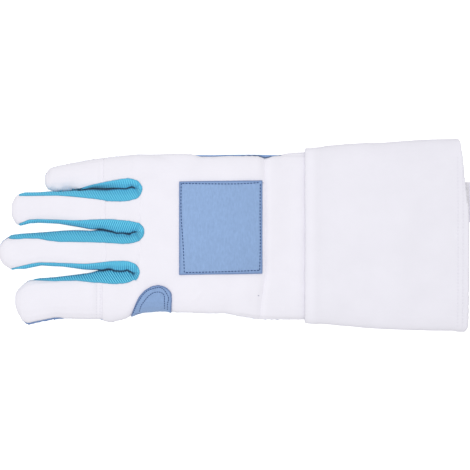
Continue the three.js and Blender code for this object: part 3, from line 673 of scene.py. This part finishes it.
def smooth_path(corners, step=0.25):
    """Points along a smooth curve through the corners."""
    knots = np.array([corners[0], *corners, corners[-1]], float)
    path = []
    for k in range(1, len(knots) - 2):
        before, start, end, after = knots[k - 1:k + 3]
        count = max(2, round(float(np.linalg.norm(end - start)) / step))
        t = np.linspace(0, 1, count, endpoint=False)[:, None]
        leave, arrive = (end - before) / 2, (after - start) / 2
        hermite = (2 * t**3 - 3 * t**2 + 1) * start + (t**3 - 2 * t**2 + t) * leave
        path.append(hermite + (3 * t**2 - 2 * t**3) * end + (t**3 - t**2) * arrive)
    return np.concatenate([*path, knots[-1:]])


PATCH_ROWS = {
    "back_patch": {
        "front": [(-38.2, 36.6), (-38.4, 24), (-38.2, 12), (-37.4, 1), (-36.7, -10), (-36.1, -26)],
        "top": [(-37.7, 36.2), (-8, 35.8), (7.6, 36.2), (17.3, 37)],
        "rear": [(16.8, 36), (16.6, 16), (16.8, -4), (16.3, -25)],
        "bottom": [(-35.2, -25.8), (-12, -25.3), (0.3, -24.9), (16.9, -24.3)],
    },
    "crotch_patch": {
        "outer": [
            (-72.1, -54.4), (-69.3, -48.3), (-66.2, -43), (-62.3, -38.8), (-57.5, -36.9), (-53.5, -36.2),
            (-51, -37.2), (-48.6, -40.1), (-47.1, -43.8), (-47.9, -48), (-48, -53),
        ],
        "inner": [
            (-67.8, -53.4), (-66.2, -49.1), (-64.5, -46.5), (-61.8, -43), (-58.8, -40.5), (-56.1, -39.5),
            (-53.5, -39.4), (-51.5, -40.2), (-50.1, -41.9), (-50, -46.5), (-50, -53),
        ],
    },
}
# How dark the suede is painted at the cut edge, between the edge and the stitches, and all over
EDGE_TONES = {"back_patch": (0.6, 0.2, 0), "crotch_patch": (0.9, 0.04, 0.12)}
PATCH_STITCHES = {
    "back_patch": {"dash": 1.85, "gap": 0.4, "radius": 0.33},
    "crotch_patch": {"dash": 1.5, "gap": 0.12, "radius": 0.3},
}
# The square patch is sewn on slightly askew: its slope, the X that it turns about, and its shift along Y
PATCH_SLOPE = 0.0133
PATCH_MIDDLE = -10.7
PATCH_SHIFT = 0.15
THREAD_ENDS = {
    "thread_end_1": [(18, 36.9), (20, 36.4)],
    "thread_end_2": [(14.9, -41.6), (16.3, -42.3)],
}
for node, rows in PATCH_ROWS.items():
    obj, points, distance = fine_copy(node, f"{node}_suede", 0.5, 20)
    x, y, z = points.T
    rim, band, amount = EDGE_TONES[node]
    edge_darkening = rim * (1 - ramp(distance, 0.2, 1.1)) + band * (1 - ramp(distance, 1.5, 2.5)) + amount
    set_attribute(obj, "edge", np.clip(edge_darkening, 0, 1))
    if node == "back_patch":
        set_attribute(obj, "tone", 0.02 - 0.035 * ramp(x, -38, 17) - 0.03 * ramp(-y, 0, 26))
        y += PATCH_SLOPE * (x - PATCH_MIDDLE) + PATCH_SHIFT
    else:
        x += 1.4 * ramp(y, -46, -38)
    finish_piece(obj, points, blue_suede, node)
    for row, path in rows.items():
        name = f"{node}_stitches_{row}"
        sew(name, obj, smooth_path(path), blue_thread, **PATCH_STITCHES[node])
for name, path in THREAD_ENDS.items():
    sew(name, hand_cloth, path, blue_thread, dash=1.4, gap=0.5, radius=0.16, sink=0.02)

# Wrist sleeve: a soft tube of the white cloth between the hand and the gauntlet, flattened as it lies. Its
# front edge is a soft pleat over the hand's back, and a seam runs near each side.
LITTLE_SIDE_SEAM = 55.4
obj, points, _ = fine_copy("wrist_sleeve", "wrist_sleeve_cloth", 0.85, 40)
x, y, z = points.T
above = ramp(z, 12, 17)
lip = 1 - ramp(x, 20.2, 22.2)
z += above * (0.12 * bell(x, 23.4, 2.2) - 0.28 * lip * lip)
x -= 0.5 * above * lip
z += above * crumple(x, y, 0.15) * ramp(x, 22, 26)
y -= 1.3 * (1 - ramp(x, 30, 37)) * ramp(y, 38, 56) * above
y -= 1.0 * bell(x, 20.5, 3.5) * ramp(y, 44, 56) * above
side_seams = bell(y, np.interp(x, *SIDE_SEAM), 0.5) + bell(y, LITTLE_SIDE_SEAM, 0.5) * ramp(x, 22, 26)
z -= 0.3 * above * side_seams
# Painted highlight on the pleat's ridge, painted shade in the side seams' grooves, and painted shade on the
# sleeve just behind the gauntlet's edge.
tone = 0.016 * bell(x, 22.6, 2.0) - 0.06 * side_seams - 0.012 * ramp(x, 42, 48.5)
set_attribute(obj, "tone", tone * above)
finish_piece(obj, points, white_cloth, "wrist_sleeve")

# Gauntlet: a wide tube of slightly greyer cloth that is drawn over the fencer's cuff. A turned band stiffens
# its front edge, and two rows of white stitches hold the hem round its mouth.
CUFF = (0.77, 0.757, 0.822)
BAND_FOLD = 52.5
BAND_STEP = 58.5
HEM_ROWS = (154.9, 158.4)
# A slanting crease near the mouth, given like the fold on the hand
CUFF_CREASE = ((138, 50), (0.53, -0.85), 3, 14)
cuff_cloth = cloth_material("Cuff cloth", CUFF)
obj, points, _ = fine_copy("gauntlet", "gauntlet_cloth", 1.1, 40, 0.3)
x, y, z = points.T
above = ramp(z, 11, 15)
z += above * (0.3 * bell(x, BAND_FOLD, 2.5) - 0.22 * bell(x, BAND_STEP, 2.2))
for row in HEM_ROWS:
    z -= 0.25 * above * bell(x, row - 0.7, 0.8)
z += above * 0.4 * ridge(x, y, *CUFF_CREASE)
z += above * crumple(x, y, 0.2) * between(x, 60, 66, 146, 152)
y += 0.8 * ramp(x, 100, 150) * ramp(y, 40, 66)
x -= 0.8 * (1 - ramp(x, 50, 60)) * above
corner = ramp(x, 150, 157) * ramp(np.abs(y), 60, 67) * ramp(np.abs(y), 63, 67)
x -= np.where(y > 0, 0.7, 1.6) * corner
# Painted highlight on the turned band and painted shade just behind its step; the cloth is also painted
# darker towards the mouth.
tone = 0.03 * between(x, 49, 51, 52.5, 57) - 0.006 * bell(x, 59.5, 2) - 0.016 * ramp(x, 90, 155)
set_attribute(obj, "tone", tone * above)
finish_piece(obj, points, cuff_cloth, "gauntlet")
for k, row in enumerate(HEM_ROWS):
    path = [(row, -64.0), (row, 56.0 - 8 * k)]
    sew(f"hem_stitches_{k + 1}", obj, path, white_thread, dash=1.5, gap=0.8, radius=0.28)

# Tab: a short double strip of the cuff's cloth, caught in the mouth's far edge, that the fencer pulls on. It
# is painted paler than the cuff, a painted light against the shade of the mouth.
TAB_PAINTED_LIGHT = (0.93, 0.915, 0.97)
tab_painted_light_cloth = cloth_material("Tab cloth painted light", TAB_PAINTED_LIGHT)
obj, points, _ = fine_copy("mouth_tab", "mouth_tab_cloth", 0.5, 10)
finish_piece(obj, points, tab_painted_light_cloth, "mouth_tab")

# Floor, light and camera: a white paper sweep that stays white around the glove, a wide soft lamp nearly
# overhead, and the camera straight above, far enough away for the glove to look flat on.
bpy.ops.mesh.primitive_plane_add(size=6, location=(0, 0, -0.2 * MM))
floor = bpy.context.object
floor.name = "floor"
floor_material = bpy.data.materials.new("Floor")
floor_material.use_nodes = True
tree = floor_material.node_tree
paper = tree.nodes["Principled BSDF"]
paper.inputs["Base Color"].default_value = (0.8, 0.8, 0.8, 1)
paper.inputs["Roughness"].default_value = 0.9
glow = add_node(tree, "ShaderNodeEmission", in_0=(1, 1, 1, 1), in_1=0.75)
seen = add_node(tree, "ShaderNodeLightPath")
bright = add_node(tree, "ShaderNodeAddShader")
choice = add_node(tree, "ShaderNodeMixShader")
link(tree, paper, 0, bright, 0)
link(tree, glow, 0, bright, 1)
link(tree, seen, "Is Camera Ray", choice, 0)
link(tree, paper, 0, choice, 1)
link(tree, bright, 0, choice, 2)
link(tree, choice, 0, tree.nodes["Material Output"], "Surface")
floor.data.materials.append(floor_material)

world = bpy.data.worlds.new("Studio")
world.use_nodes = True
world.node_tree.nodes["Background"].inputs["Color"].default_value = (1, 1, 1, 1)
world.node_tree.nodes["Background"].inputs["Strength"].default_value = 0.8
bpy.context.scene.world = world

lamp = bpy.data.lights.new("Key", "AREA")
lamp.shape = "DISK"
lamp.size = 1.2
lamp.energy = 11.5
key = bpy.data.objects.new("Key", lamp)
key.location = (-0.2, 0.15, 1.8)
key.rotation_euler = Vector(key.location).to_track_quat("Z", "Y").to_euler()
bpy.context.scene.collection.objects.link(key)

# The view is this wide at the height of the glove's back, in metres
VIEW_WIDTH = 0.329
BACK_HEIGHT = 0.02
CAMERA_DISTANCE = 2.0
lens = bpy.data.cameras.new("Camera")
lens.sensor_width = 36
lens.lens = lens.sensor_width * CAMERA_DISTANCE / VIEW_WIDTH
camera = bpy.data.objects.new("Camera", lens)
camera.location = (-0.84 * MM, 0.31 * MM, CAMERA_DISTANCE + BACK_HEIGHT)
bpy.context.scene.collection.objects.link(camera)
bpy.context.scene.camera = camera
bpy.context.scene.view_settings.view_transform = "Standard"
